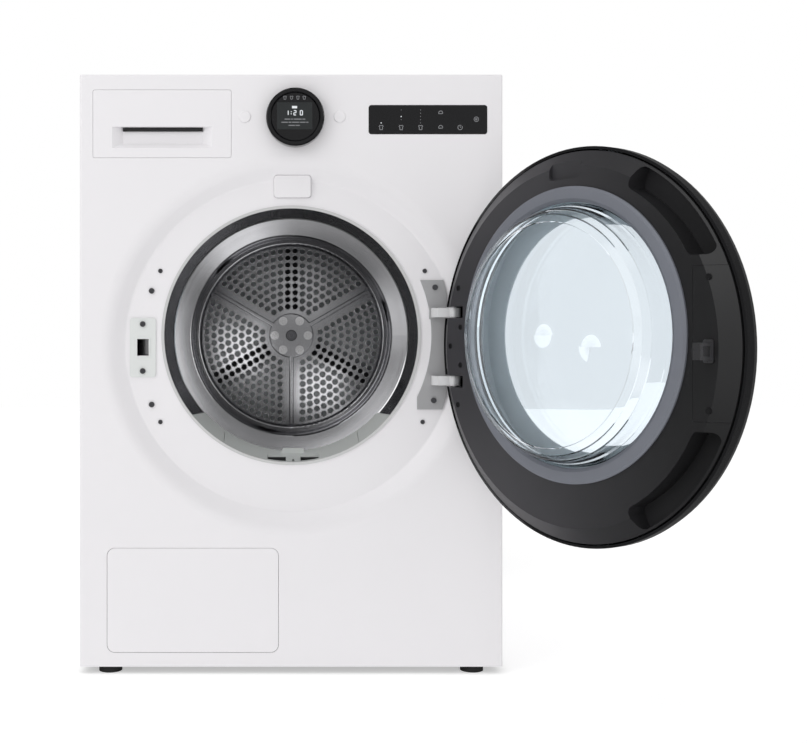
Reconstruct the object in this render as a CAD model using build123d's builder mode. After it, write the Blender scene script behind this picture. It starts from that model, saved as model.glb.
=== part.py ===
"""Heat-pump clothes dryer, front loading, door standing open.

Frame: +Z up, +X to the right of someone facing the front, +Y from the front to the back.
The origin is on the floor, midway between the four feet. Depths are measured from the front face.
"""

import os
from math import acos, asin, atan2, cos, hypot, radians, sin, tan

from build123d import *

# ---- driving dimensions (mm, degrees) ----
WIDTH, HEIGHT = 600, 850
BODY_DEPTH = 625  # front face to rear panel
COVER_DEPTH = 650  # front face to the back of the rear duct cover
FOOT_HEIGHT, FOOT_R, FOOT_X = 10, 16.5, 259
FOOT_INSET = 22  # front face to the middle of a front foot
FOOT_SPREAD = 581  # front feet to rear feet
SHEET = 1.2  # sheet metal thickness
TOP_THICK = 4.2
PANEL_FOLD = 22  # the front panel's side returns

DOOR_Z = 465  # height of the door's centre
DOOR_R = 249
DOOR_OPEN = 123.4  # how far the door stands open
HINGE_X, HINGE_PROUD = 230, 11  # hinge axis: right of the middle, in front of the front face
HINGE_ARM_Z = (416, 512)
ARM_HALF, EYE_R, PIN_R = 6.5, 8.5, 3

RECESS_R, RECESS_FLOOR_R, RECESS_DEPTH = 260, 237, 15
PORT_Z, PORT_R = 480, 184  # loading port in the recess floor
TUNNEL_R, TUNNEL_END = 172, 63  # the port's steel tunnel narrows to this radius at this depth
HOUSING_TOP = 366  # the filter housing fills the tunnel below this height

DRUM_R, DRUM_FRONT, DRUM_BACK = 281, 75, 525
HOLE_R, HOLE_PITCH = 4.6, 13.3

MOTOR_X, MOTOR_Z = 170, 112
PULLEY_R = 14
BELT_DEPTH, BELT_WIDTH, BELT_THICK = 333, 14, 3
ROLLER_R, ROLLER_ANGLE = 36, 38  # drum support rollers, either side of straight down
IDLER_R = 20

DRAWER = (-281, -85.2, 732, 828)  # x and z limits of the water drawer's front
FLAP = (-261, -18, 30.2, 178)  # x and z limits of the condenser flap
TOUCH = (110, 278, 765.3, 806.4)
LAMP = (-24.4, 28.4, 676.5, 708.5)
DIAL_X, DIAL_Z, DIAL_R = 5.8, 787.2, 41
BUTTONS = {"power_button": (-65.7, 790), "start_button": (68.8, 790)}
BUTTON_R = 8.4

GAP = 0.2  # between fixed neighbours
RUN = 0.05  # radial clearance of a running fit
GLASS_RISE = PORT_Z - DOOR_Z  # the door glass sits above the door's centre

# ---- derived positions ----
FRONT = -(FOOT_INSET + FOOT_SPREAD / 2)
SIDE = WIDTH / 2
PANEL_LOW, PANEL_HIGH = FOOT_HEIGHT, HEIGHT - TOP_THICK
DRUM_AXIS = (0, PORT_Z)
MOTOR_AXIS = (MOTOR_X, MOTOR_Z)
HINGE_Y = FRONT - HINGE_PROUD
FEET = [(x, y) for x in (-FOOT_X, FOOT_X) for y in (-FOOT_SPREAD / 2, FOOT_SPREAD / 2)]
REAR_DEPTH = 565  # the rear panel's pressed-in wall
REAR_WELL = (-262, 262, 60, 800)  # x and z limits of that pressed-in wall
DUCT = (-258, -22, 30, 168)  # x and z limits of the heat exchanger's duct
TANK = (-276.5, -131.5, 741, 822)
BAY = (-280.5, -127, 736.5, 825.5)
SPIGOT, GLAND = (-274, 120), (274, 760)  # rear connections, x and z

os.makedirs("parts", exist_ok=True)


def save(piece, name):
    piece.part.label = name
    export_step(piece.part, f"parts/{name}.step")


def depth_plane(depth):
    """Upright plane facing the front, at a depth behind the front face; sketches are in x, z."""
    return Plane.XZ.offset(-FRONT - depth)


def block(limits, depth, length, mode=Mode.ADD, corner=0):
    x0, x1, z0, z1 = limits
    with BuildSketch(depth_plane(depth)) as outline:
        with Locations(((x0 + x1) / 2, (z0 + z1) / 2)):
            if corner:
                RectangleRounded(x1 - x0, z1 - z0, corner)
            else:
                Rectangle(x1 - x0, z1 - z0)
    extrude(outline.sketch, amount=-length, mode=mode)


def grown(limits, by):
    x0, x1, z0, z1 = limits
    return (x0 - by, x1 + by, z0 - by, z1 + by)


def discs(points, radius, depth, length, mode=Mode.ADD):
    """Round bosses or holes that run back from a depth, at points given as x, z."""
    with BuildSketch(depth_plane(depth)) as outline:
        with Locations(*points):
            Circle(radius)
    extrude(outline.sketch, amount=-length, mode=mode)


def turned(profile, centre=DRUM_AXIS, mode=Mode.ADD):
    """Revolve a closed outline of (radius, depth) points about an axis through x, z."""
    x, z = centre
    with BuildSketch(Plane(origin=(x, FRONT, z))) as section:
        with BuildLine():
            Polyline(*profile, close=True)
        make_face()
    revolve(section.sketch, axis=Axis((x, FRONT, z), (0, 1, 0)), mode=mode)


def pressed(path, centre, radius, thickness=SHEET):
    """Revolve a sheet of even thickness along a rounded path of (radius, depth) points."""
    x, z = centre
    with BuildSketch(Plane(origin=(x, FRONT, z))) as section:
        with BuildLine() as middle:
            FilletPolyline(*path, radius=radius)
        trace(middle.line, line_width=thickness)
    revolve(section.sketch, axis=Axis((x, FRONT, z), (0, 1, 0)))


def around(radius, count, first=0, centre=DRUM_AXIS):
    angles = [radians(first + 360 * i / count) for i in range(count)]
    return [(centre[0] + radius * cos(a), centre[1] + radius * sin(a)) for a in angles]


# Screws: head and shank, run back from a depth. Holes use the same points.
HEAD_R, HEAD_HIGH, SHANK_R = 4, 2, 2
RECESS_SCREWS = [(-199.5, 543.5), (-199.5, 381)]
STRIKE_SCREWS = [(-212, 496), (-212, 429)]
BRACKET_SCREWS = [(205.5, 548.5), (203.5, 387)]
RECESS_RIVETS = [(-187, 572), (-187, 356), (191, 572), (188, 356)]
REAR_SCREWS = [(x, z) for x in (-292, 292) for z in (60, 320, 580, 830)]
COVER_SCREWS = around(221, 5, 30) + [(246, 120), (89, 120)]
SPIDER_SCREWS = around(186, 3, 90)
SCREW_SETS = [
    (RECESS_SCREWS, RECESS_DEPTH),
    (STRIKE_SCREWS, RECESS_DEPTH - 2.1),
    (BRACKET_SCREWS, RECESS_DEPTH - 2.6),
]

# ---- base, feet and outer casing ----
PAN = (-298.4, 298.4)
PAN_FRONT, PAN_BACK, PAN_WALL = 1.6, 622, 2.5
PAN_TOP, PAN_FLOOR = 52, 12.5
PEGS, PEG_R, PEG_BACK = [(FLAP[0] + 30, 41), (FLAP[1] - 30, 41)], 3, 14  # the flap pushes on to these
BOSS_TOP = 28

with BuildPart() as base_pan:
    block((*PAN, FOOT_HEIGHT, PAN_TOP), PAN_FRONT, PAN_BACK - PAN_FRONT)
    block(
        (PAN[0] + PAN_WALL, PAN[1] - PAN_WALL, PAN_FLOOR, PAN_TOP + 1),
        PAN_FRONT + PAN_WALL,
        PAN_BACK - PAN_FRONT - 2 * PAN_WALL,
        Mode.SUBTRACT,
    )
    block((FLAP[0] - 1, FLAP[1] + 1, 26, PAN_TOP + 1), 0, 10, Mode.SUBTRACT)
    for x, z in PEGS:
        block((x - 7, x + 7, PAN_FLOOR - 1, z + 6), 9, 6)
    discs(PEGS, PEG_R + RUN, 8, 8, Mode.SUBTRACT)
    with BuildSketch(Plane.XY.offset(PAN_FLOOR)):
        with Locations(*FEET):
            Circle(10)
    extrude(amount=BOSS_TOP - PAN_FLOOR)
    with BuildSketch(Plane.XY.offset(FOOT_HEIGHT)):
        with Locations(*FEET):
            Circle(5 + RUN)
    extrude(amount=BOSS_TOP, mode=Mode.SUBTRACT)
save(base_pan, "base_pan")

with BuildPart() as feet:
    with BuildSketch(Plane.XY):
        with Locations(*FEET):
            Circle(FOOT_R)
    extrude(amount=FOOT_HEIGHT)
    fillet(feet.edges().group_by(Axis.Z)[-1], 2)
    with BuildSketch(Plane.XY.offset(FOOT_HEIGHT)):
        with Locations(*FEET):
            Circle(5)
    extrude(amount=BOSS_TOP - FOOT_HEIGHT - 2)
save(feet, "feet")

SIDE_FRONT, SIDE_BACK, SIDE_FOLD = PANEL_FOLD + GAP, 623.6, 14


def side_panel(side):
    """A flat steel side with folded front and rear edges, side being -1 or 1."""
    face, inner = side * SIDE, side * (SIDE - SHEET)
    fold = side * (SIDE - SIDE_FOLD)
    sheet = (min(face, inner), max(face, inner), PANEL_LOW, PANEL_HIGH - GAP)
    block(sheet, SIDE_FRONT, SIDE_BACK - SIDE_FRONT)
    for depth in (SIDE_FRONT, SIDE_BACK - SHEET):
        block((min(inner, fold), max(inner, fold), PAN_TOP + 4, PANEL_HIGH - GAP), depth, SHEET)
    holes = [point for point in REAR_SCREWS if point[0] * side > 0]
    discs(holes, SHANK_R + RUN, SIDE_BACK - 3, 6, Mode.SUBTRACT)


for side, name in ((-1, "side_panel_left"), (1, "side_panel_right")):
    with BuildPart() as side_plate:
        side_panel(side)
    save(side_plate, name)

with BuildPart() as front_panel:
    block((-SIDE, SIDE, PANEL_LOW, PANEL_HIGH), 0, PANEL_FOLD)
    fillet(front_panel.edges().filter_by(Axis.Z).group_by(Axis.Y)[0], 3)
    block((-SIDE + SHEET, SIDE - SHEET, PANEL_LOW - 1, PANEL_HIGH - SHEET), SHEET, PANEL_FOLD, Mode.SUBTRACT)
    discs([(0, DOOR_Z)], RECESS_R + 14, -1, SHEET + 2, Mode.SUBTRACT)
    mid = SHEET / 2
    pressed(
        [
            (RECESS_R + 14, mid),
            (RECESS_R, mid),
            (RECESS_FLOOR_R, RECESS_DEPTH + mid),
            (120, RECESS_DEPTH + mid),
        ],
        (0, DOOR_Z),
        (30, 6),
    )
    discs([DRUM_AXIS], PORT_R, RECESS_DEPTH - 1, 4, Mode.SUBTRACT)
    block(grown(DRAWER, 0.4), -1, 4, Mode.SUBTRACT, corner=3.4)
    block(grown(FLAP, 0.4), -1, 4, Mode.SUBTRACT, corner=11.4)
    block(grown(TOUCH, GAP), -1, 4, Mode.SUBTRACT, corner=4)
    block(grown(LAMP, 0.3), 5, 16, Mode.SUBTRACT, corner=5)
    discs([(DIAL_X, DIAL_Z)], 37.6, -1, 4, Mode.SUBTRACT)
    discs(BUTTONS.values(), BUTTON_R + 0.1, -1, 4, Mode.SUBTRACT)
    discs(RECESS_SCREWS + STRIKE_SCREWS + BRACKET_SCREWS, SHANK_R + RUN, 14, 4, Mode.SUBTRACT)
    discs(RECESS_RIVETS, 2.2 + RUN, 14, 4, Mode.SUBTRACT)
    block((-222, -202, 451, 478), 14, 4, Mode.SUBTRACT)
save(front_panel, "front_panel")

with BuildPart() as top_plate:
    with BuildSketch(Plane.XY.offset(PANEL_HIGH)):
        with Locations((0, FRONT + BODY_DEPTH / 2)):
            RectangleRounded(WIDTH, BODY_DEPTH, 3)
    extrude(amount=TOP_THICK)
    fillet(top_plate.edges().group_by(Axis.Z)[-1], 2)
    with BuildSketch(Plane.XY.offset(PANEL_HIGH)):
        with Locations((0, FRONT + BODY_DEPTH / 2)):
            Rectangle(WIDTH - 6, BODY_DEPTH - 6)
    extrude(amount=TOP_THICK - 1.6, mode=Mode.SUBTRACT)
save(top_plate, "top_plate")

with BuildPart() as rear_panel:
    block((-SIDE, SIDE, PANEL_LOW, PANEL_HIGH), BODY_DEPTH - SHEET, SHEET)
    block(grown(REAR_WELL, SHEET), REAR_DEPTH, BODY_DEPTH - REAR_DEPTH)
    block(REAR_WELL, REAR_DEPTH + SHEET, BODY_DEPTH - REAR_DEPTH, Mode.SUBTRACT)
    turned([(176, 537), (177.2, 537), (177.2, REAR_DEPTH), (176, REAR_DEPTH)])
    discs([DRUM_AXIS], 168, REAR_DEPTH - 1, 4, Mode.SUBTRACT)
    discs([MOTOR_AXIS], 45, REAR_DEPTH - 1, 4, Mode.SUBTRACT)
    discs(REAR_SCREWS, SHANK_R + RUN, BODY_DEPTH - 4, 6, Mode.SUBTRACT)
    discs(COVER_SCREWS + SPIDER_SCREWS, SHANK_R + RUN, REAR_DEPTH - 1, 4, Mode.SUBTRACT)
    discs([SPIGOT], 8 + RUN, BODY_DEPTH - 4, 6, Mode.SUBTRACT)
    discs([GLAND], 9 + RUN, BODY_DEPTH - 4, 6, Mode.SUBTRACT)
save(rear_panel, "rear_panel")

COVER_FRONT, COVER_WALL = REAR_DEPTH + SHEET + GAP, 2.5
COVER_BACK = COVER_DEPTH
LEG = (95, 240, 76, 480)


def duct_outline(by):
    """The rear duct's outline: a round part behind the drum and a leg down to the blower."""
    x0, x1, z0, z1 = grown(LEG, by)
    with Locations(DRUM_AXIS):
        Circle(209 + by)
    with Locations(((x0 + x1) / 2, (z0 + LEG[3]) / 2)):
        Rectangle(x1 - x0, LEG[3] - z0)


with BuildPart() as rear_duct_cover:
    with BuildSketch(depth_plane(COVER_BACK)):
        duct_outline(0)
    extrude(amount=COVER_BACK - COVER_FRONT)
    fillet(rear_duct_cover.edges().group_by(Axis.Y)[-1], 8)
    with BuildSketch(depth_plane(COVER_FRONT + COVER_WALL)):
        duct_outline(12)
    extrude(amount=COVER_WALL)
    with BuildSketch(depth_plane(COVER_FRONT - 1)):
        duct_outline(-COVER_WALL)
    extrude(amount=-(COVER_BACK - COVER_FRONT - COVER_WALL + 1), mode=Mode.SUBTRACT)
    discs(around(75, 8, 22.5), 12, COVER_BACK - 0.8, 2, Mode.SUBTRACT)
    discs(COVER_SCREWS, SHANK_R + RUN, COVER_FRONT - 1, 5, Mode.SUBTRACT)
save(rear_duct_cover, "rear_duct_cover")

# ---- loading port: bezel, bulkhead, filter housing, filter and felts ----
with BuildPart() as porthole_bezel:
    lip = RECESS_DEPTH - 1.6
    turned(
        [
            (PORT_R - 2.4, lip),
            (PORT_R + 1.6, lip),
            (PORT_R + 1.6, RECESS_DEPTH - 0.1),
            (PORT_R - 0.2, RECESS_DEPTH - 0.1),
            (PORT_R - 0.2, RECESS_DEPTH + 2),
            (PORT_R - 2.4, RECESS_DEPTH + 2),
        ]
    )
save(porthole_bezel, "porthole_bezel")

BULKHEAD_FRONT = TUNNEL_END - 2
ROLLER_REACH = DRUM_R + ROLLER_R + 0.3
ROLLERS = [
    (side * ROLLER_REACH * sin(radians(ROLLER_ANGLE)), PORT_Z - ROLLER_REACH * cos(radians(ROLLER_ANGLE)))
    for side in (-1, 1)
]
AXLE_R = 5
TUNNEL_START = RECESS_DEPTH + 2.4

with BuildPart() as front_bulkhead:
    turned(
        [
            (PORT_R - 1.6, TUNNEL_START),
            (PORT_R + 0.4, TUNNEL_START),
            (TUNNEL_R + 2.4, BULKHEAD_FRONT),
            (TUNNEL_R + 2.4, TUNNEL_END),
            (TUNNEL_R - 1.4, TUNNEL_END),
            (TUNNEL_R - 1.4, TUNNEL_END - 1.6),
            (TUNNEL_R + 0.2, TUNNEL_END - 2.6),
        ]
    )
    block((-150, 150, 280, HOUSING_TOP + GAP), 10, TUNNEL_END - 10 + 1, Mode.SUBTRACT)
    with BuildSketch(depth_plane(BULKHEAD_FRONT)):
        with Locations((0, (60 + 735) / 2)):
            RectangleRounded(580, 735 - 60, 12)
        with Locations(DRUM_AXIS):
            Circle(TUNNEL_R + 2.2, mode=Mode.SUBTRACT)
        with Locations(*ROLLERS):
            Circle(AXLE_R + 0.02, mode=Mode.SUBTRACT)
    extrude(amount=-2)
    block(grown(DUCT, 1), BULKHEAD_FRONT - 1, 4, Mode.SUBTRACT)
save(front_bulkhead, "front_bulkhead")

# The tunnel's free space below the bezel, which the filter and its housing must leave clear.
FREE_R = 169.5
FREE_TUNNEL = [
    (0, 10),
    (PORT_R - 1.2, 10),
    (PORT_R - 2.4, TUNNEL_START),
    (FREE_R, 59.5),
    (FREE_R, 64),
    (0, 64),
]
SLOT = (-97, 97, 190, 350)
SLOT_FRONT, SLOT_DEEP = 19, 37

with BuildPart() as filter_housing:
    turned(
        [
            (165.4, TUNNEL_START),
            (PORT_R - 0.2, TUNNEL_START),
            (PORT_R - 0.2, 24),
            (173.6, BULKHEAD_FRONT - 0.4),
            (165.4, BULKHEAD_FRONT - 0.4),
        ]
    )
    block((-150, 150, 290, HOUSING_TOP), 10, 60, Mode.INTERSECT)
    block((-100, 100, 187, 330), TUNNEL_START, BULKHEAD_FRONT - 0.4 - TUNNEL_START)
    turned(FREE_TUNNEL, mode=Mode.SUBTRACT)
    block(SLOT, SLOT_FRONT, SLOT_DEEP, Mode.SUBTRACT)
save(filter_housing, "filter_housing")

with BuildPart() as lint_filter:
    block((-96.5, 96.5, 192, 346), SLOT_FRONT + 0.4, SLOT_DEEP - 0.8)
    turned(FREE_TUNNEL, mode=Mode.SUBTRACT)
    block((-86, 86, 200, 284), SLOT_FRONT + 2, SLOT_DEEP - 4, Mode.SUBTRACT)
    for column in range(6):
        x = -84 + column * 28.4
        block((x, x + 26, 202, 282), SLOT_FRONT - 1, 2.2, Mode.SUBTRACT)
        block((x, x + 26, 202, 282), SLOT_FRONT + SLOT_DEEP - 1.2, 2.2, Mode.SUBTRACT)
    for x in (-34.7, 13):
        block((x, x + 27.6, 290, 330), 21, 16.5, Mode.SUBTRACT)
    discs([(3, 300)], 1.6, 20, 12, Mode.SUBTRACT)
    with BuildSketch(depth_plane(50.5)):
        Polygon((-17, 305), (22, 305), (16.9, 315.2), (-11.7, 315.2), align=None)
    extrude(amount=-5)
save(lint_filter, "lint_filter")

with BuildPart() as felt_seals:
    near, far = TUNNEL_END + 0.3, DRUM_FRONT - 0.4
    turned([(238, near), (252, near), (252, far), (238, far)])
    turned([(171, 527.4), (182, 527.4), (182, 536.8), (171, 536.8)])
save(felt_seals, "felt_seals")

with BuildPart() as lamp_cover:
    block(LAMP, 9, 10, corner=5)
    fillet(lamp_cover.edges().group_by(Axis.Y)[0], 1.5)
save(lamp_cover, "lamp_cover")

# ---- drum ----
WALL = 1.1
with BuildPart() as drum_shell:
    turned(
        [
            (232, DRUM_FRONT),
            (DRUM_R, DRUM_FRONT),
            (DRUM_R, 490),
            (DRUM_R - WALL, 490),
            (DRUM_R - WALL, DRUM_FRONT + WALL),
            (232, DRUM_FRONT + WALL),
        ]
    )
save(drum_shell, "drum_shell")

PLATE_FRONT = DRUM_BACK - 3.5  # the spokes' and hub's face, in front of the perforated sectors
SPOKES = (30, 150, 270)
BOLT_RING = 30.6


SECTOR_LEVEL = PLATE_FRONT + 3
HUB_R, RIB_HALF, BAND_R = 41, 4, 168
SECTOR_IN, SECTOR_OUT, SECTOR_EDGE, LIP = 48, 163, 10.2, 2.6  # the edge is off the spoke's middle
ROWS, ROW_FIRST, ROW_STEP, SPOKE_CLEAR = 9, 53.8, 12.86, 21


def sector_outline(turn, by):
    """A perforated sector grown all round by a distance, its middle at an angle from straight up."""
    slant, far, up = (SECTOR_EDGE - by) / cos(radians(30)), 400, radians(90 + turn)
    high = slant + far * tan(radians(30))
    corners = [(0, slant), (far, high), (-far, high)]
    with BuildSketch(depth_plane(SECTOR_LEVEL - 2)) as outline:
        with Locations(DRUM_AXIS):
            Circle(SECTOR_OUT + by)
            Circle(SECTOR_IN - by, mode=Mode.SUBTRACT)
        placed = [
            (DRUM_AXIS[0] + x * sin(up) + z * cos(up), DRUM_AXIS[1] - x * cos(up) + z * sin(up))
            for x, z in corners
        ]
        Polygon(*placed, align=None, mode=Mode.INTERSECT)
        fillet(outline.vertices(), 5 + by)
    return outline.sketch


def perforations():
    """Hole centres of the three sectors, relative to the axis: rows of even arcs."""
    points = []
    for middle in (90, 210, 330):
        for row in range(ROWS):
            radius = ROW_FIRST + row * ROW_STEP
            half = radians(60) - asin(SPOKE_CLEAR / radius)
            count = int(2 * half * radius / HOLE_PITCH) + 1
            for k in range(count):
                a = radians(middle) + half * (2 * k / (count - 1) - 1)
                points.append((radius * cos(a), radius * sin(a)))
    return points


with BuildPart() as drum_back:
    pressed(
        [
            (BAND_R - 6, DRUM_BACK + 0.4),
            (BAND_R - 2, DRUM_BACK + 0.4),
            (BAND_R + 1.5, PLATE_FRONT - 2),
            (BAND_R + 9, PLATE_FRONT - 2),
            (184, DRUM_BACK - 1),
            (222, DRUM_BACK - 12),
            (262, DRUM_BACK - 34),
            (279, DRUM_BACK - 52),
        ],
        DRUM_AXIS,
        (3, 3, 3, 8, 60, 30),
        1.4,
    )
    discs([DRUM_AXIS], BAND_R - 2, SECTOR_LEVEL, 2.2)
    with BuildSketch(depth_plane(PLATE_FRONT)):
        with Locations(DRUM_AXIS):
            Circle(HUB_R)
            for angle in SPOKES:
                with Locations(Location((0, 0, 0), (0, 0, angle))):
                    Rectangle(BAND_R - 3, 2 * RIB_HALF, align=(Align.MIN, Align.CENTER))
    extrude(amount=-4)
    level = FRONT + PLATE_FRONT
    fillet(drum_back.edges().filter_by_position(Axis.Y, level - 0.01, level + 0.01), 2)
    for turn in (0, 120, 240):
        extrude(sector_outline(turn, LIP) - sector_outline(turn, 0), amount=-3)
    with BuildSketch(depth_plane(PLATE_FRONT - 1)):
        with Locations(*[(x, PORT_Z + z) for x, z in perforations()]):
            Circle(HOLE_R)
    extrude(amount=-9, mode=Mode.SUBTRACT)
    discs([DRUM_AXIS], 10.2, PLATE_FRONT - 1, 9, Mode.SUBTRACT)
    discs(around(BOLT_RING, 6), 3.1, PLATE_FRONT - 1, 9, Mode.SUBTRACT)
save(drum_back, "drum_back")

LIFTER_TOP_R = 215
LIFTER_ANGLES = (15, 135, 255)
with BuildPart() as drum_lifters:
    with BuildSketch(depth_plane(90)):
        with Locations(DRUM_AXIS):
            for angle in LIFTER_ANGLES:
                with Locations(Location((0, 0, 0), (0, 0, angle))):
                    Polygon(
                        (DRUM_R, -34),
                        (LIFTER_TOP_R + 10, -17),
                        (LIFTER_TOP_R, -9),
                        (LIFTER_TOP_R, 9),
                        (LIFTER_TOP_R + 10, 17),
                        (DRUM_R, 34),
                        align=None,
                    )
    extrude(amount=-370)
    turned([(0, 80), (DRUM_R - WALL - 0.1, 80), (DRUM_R - WALL - 0.1, 470), (0, 470)], mode=Mode.INTERSECT)
save(drum_lifters, "drum_lifters")

SHAFT_R, FLANGE = 12, SECTOR_LEVEL + 2.4
with BuildPart() as drum_shaft:
    turned(
        [
            (0, PLATE_FRONT - 1),
            (3.4, PLATE_FRONT - 1),
            (4.2, PLATE_FRONT - 4),
            (8.6, PLATE_FRONT - 4),
            (9.9, PLATE_FRONT - 2.6),
            (9.9, FLANGE),
            (0, FLANGE),
        ]
    )
    discs([DRUM_AXIS], 43, FLANGE, 8)
    discs([DRUM_AXIS], SHAFT_R, FLANGE + 8, 54)
    discs(around(BOLT_RING, 6), 3 + RUN, FLANGE - 1, 12, Mode.SUBTRACT)
save(drum_shaft, "drum_shaft")

with BuildPart() as shaft_bolts:
    discs(around(BOLT_RING, 6), 8, PLATE_FRONT - 1.3, 1.2)
    discs(around(BOLT_RING, 6), 5.4, PLATE_FRONT - 4.6, 3.4)
    discs(around(BOLT_RING, 6), 2.4, PLATE_FRONT - 5, 2.6, Mode.SUBTRACT)
    discs(around(BOLT_RING, 6), 3, PLATE_FRONT - 0.2, 13)
save(shaft_bolts, "shaft_bolts")

with BuildPart() as bearing_housing:
    SPIDER = REAR_DEPTH + SHEET + GAP
    discs([DRUM_AXIS], 28, 540, SPIDER + 8 - 540)
    with BuildSketch(depth_plane(SPIDER)):
        with Locations(DRUM_AXIS):
            for angle in (90, 210, 330):
                with Locations(Location((0, 0, 0), (0, 0, angle))):
                    Rectangle(195, 26, align=(Align.MIN, Align.CENTER))
    extrude(amount=-8)
    discs([DRUM_AXIS], SHAFT_R + RUN, 530, 60, Mode.SUBTRACT)
    discs(SPIDER_SCREWS, SHANK_R + RUN, SPIDER - 1, 12, Mode.SUBTRACT)
save(bearing_housing, "bearing_housing")

# ---- drum drive ----
ROLLER_FRONT, ROLLER_WIDE = 83, 14
with BuildPart() as roller_axles:
    discs(ROLLERS, AXLE_R, BULKHEAD_FRONT - 3, 42)
    discs(ROLLERS, 8, BULKHEAD_FRONT - 6, 5.8)
save(roller_axles, "roller_axles")

for centre, name in zip(ROLLERS, ("drum_roller_left", "drum_roller_right")):
    with BuildPart() as roller:
        back = ROLLER_FRONT + ROLLER_WIDE
        profile = [
            (AXLE_R + RUN, ROLLER_FRONT - 1),
            (11, ROLLER_FRONT - 1),
            (13, ROLLER_FRONT + 4),
            (28, ROLLER_FRONT + 4),
            (30, ROLLER_FRONT),
            (ROLLER_R - 1, ROLLER_FRONT),
            (ROLLER_R, ROLLER_FRONT + 1),
            (ROLLER_R, back - 1),
            (ROLLER_R - 1, back),
            (30, back),
            (28, back - 4),
            (13, back - 4),
            (11, back),
            (AXLE_R + RUN, back),
        ]
        turned(profile, centre)
    save(roller, name)

ROTOR_SHAFT_R = 8
FAN_FRONT, FAN_BACK = 492, 540
with BuildPart() as motor_rotor:
    discs([MOTOR_AXIS], ROTOR_SHAFT_R, 326, FAN_BACK + 3 - 326)
    discs([MOTOR_AXIS], 30, 385, 70)
    flange = PULLEY_R + 4
    first, last = BELT_DEPTH - 1, BELT_DEPTH + BELT_WIDTH + 1
    turned(
        [
            (ROTOR_SHAFT_R - 1, first - 3),
            (flange, first - 3),
            (flange, first - 1),
            (PULLEY_R, first),
            (PULLEY_R, last),
            (flange, last + 1),
            (flange, last + 3),
            (ROTOR_SHAFT_R - 1, last + 3),
        ],
        MOTOR_AXIS,
    )
save(motor_rotor, "motor_rotor")

with BuildPart() as motor_housing:
    block((MOTOR_X - 38, MOTOR_X + 38, PAN_FLOOR + GAP, MOTOR_Z), 385, 70)
    discs([MOTOR_AXIS], 54, 364, 112)
    discs([MOTOR_AXIS], 31, 368, 104, Mode.SUBTRACT)
    discs([MOTOR_AXIS], ROTOR_SHAFT_R + RUN, 360, 120, Mode.SUBTRACT)
save(motor_housing, "motor_housing")

BLADES = 24
with BuildPart() as blower_wheel:
    discs([MOTOR_AXIS], 14, FAN_FRONT + 20, FAN_BACK - FAN_FRONT - 20)
    discs([MOTOR_AXIS], 64, FAN_BACK - 3, 3)
    with BuildSketch(depth_plane(FAN_FRONT)):
        with Locations(MOTOR_AXIS):
            for k in range(BLADES):
                with Locations(Location((0, 0, 0), (0, 0, 360 * k / BLADES))):
                    with Locations((57, 0)):
                        Rectangle(12, 1.6, rotation=25)
    extrude(amount=-(FAN_BACK - FAN_FRONT - 1))
    turned([(50, FAN_FRONT - 2), (64, FAN_FRONT - 2), (64, FAN_FRONT + 1), (50, FAN_FRONT + 1)], MOTOR_AXIS)
    discs([MOTOR_AXIS], ROTOR_SHAFT_R + 0.02, FAN_FRONT - 5, 60, Mode.SUBTRACT)
save(blower_wheel, "blower_wheel")

with BuildPart() as blower_housing:
    turned(
        [
            (36, 484),
            (70, 484),
            (70, REAR_DEPTH - 2.5),
            (73.5, REAR_DEPTH - 2.5),
            (73.5, REAR_DEPTH - GAP),
            (46, REAR_DEPTH - GAP),
            (46, REAR_DEPTH - 2.5),
            (67.5, REAR_DEPTH - 2.5),
            (67.5, 486.5),
            (36, 486.5),
        ],
        MOTOR_AXIS,
    )
save(blower_housing, "blower_housing")


def belt_loop(offset, mode=Mode.ADD):
    """The belt's loop round the drum and the motor pulley, at a distance from both."""
    with BuildSketch(depth_plane(BELT_DEPTH)) as loop:
        with Locations(DRUM_AXIS):
            Circle(DRUM_R + offset)
        with Locations(MOTOR_AXIS):
            Circle(PULLEY_R + offset)
        make_hull()
    extrude(loop.sketch, amount=-BELT_WIDTH, mode=mode)


BELT_GAP = 0.3
with BuildPart() as drum_belt:
    belt_loop(BELT_GAP + BELT_THICK)
    belt_loop(BELT_GAP, Mode.SUBTRACT)
save(drum_belt, "drum_belt")

# The idler presses on the belt's straight run from outside, a given share of the way along it.
outer = BELT_GAP + BELT_THICK
apart = hypot(MOTOR_X, PORT_Z - MOTOR_Z)
lean = atan2(MOTOR_Z - PORT_Z, MOTOR_X) - acos((DRUM_R - PULLEY_R) / apart)
normal = (cos(lean), sin(lean))
IDLER_SHARE = 0.62
rise = (1 - IDLER_SHARE) * DRUM_R + IDLER_SHARE * PULLEY_R + outer + IDLER_R + BELT_GAP
IDLER = tuple(
    (1 - IDLER_SHARE) * near + IDLER_SHARE * far + along * rise
    for near, far, along in zip(DRUM_AXIS, MOTOR_AXIS, normal)
)
IDLER_AXLE_R = 5

with BuildPart() as belt_idler:
    discs([IDLER], IDLER_R, BELT_DEPTH, BELT_WIDTH)
    discs([IDLER], IDLER_AXLE_R + RUN, BELT_DEPTH - 1, BELT_WIDTH + 2, Mode.SUBTRACT)
save(belt_idler, "belt_idler")

with BuildPart() as tensioner_arm:
    block((IDLER[0] - 9, IDLER[0] + 9, PAN_FLOOR + GAP, IDLER[1]), BELT_DEPTH + BELT_WIDTH + 2, 4)
    block((IDLER[0] - 9, IDLER[0] + 9, PAN_FLOOR + GAP, PAN_FLOOR + 4), BELT_DEPTH + BELT_WIDTH + 2, 26)
    discs([IDLER], 9, BELT_DEPTH + BELT_WIDTH + 2, 4)
    discs([IDLER], IDLER_AXLE_R, BELT_DEPTH - 3, BELT_WIDTH + 6)
save(tensioner_arm, "tensioner_arm")

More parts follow.
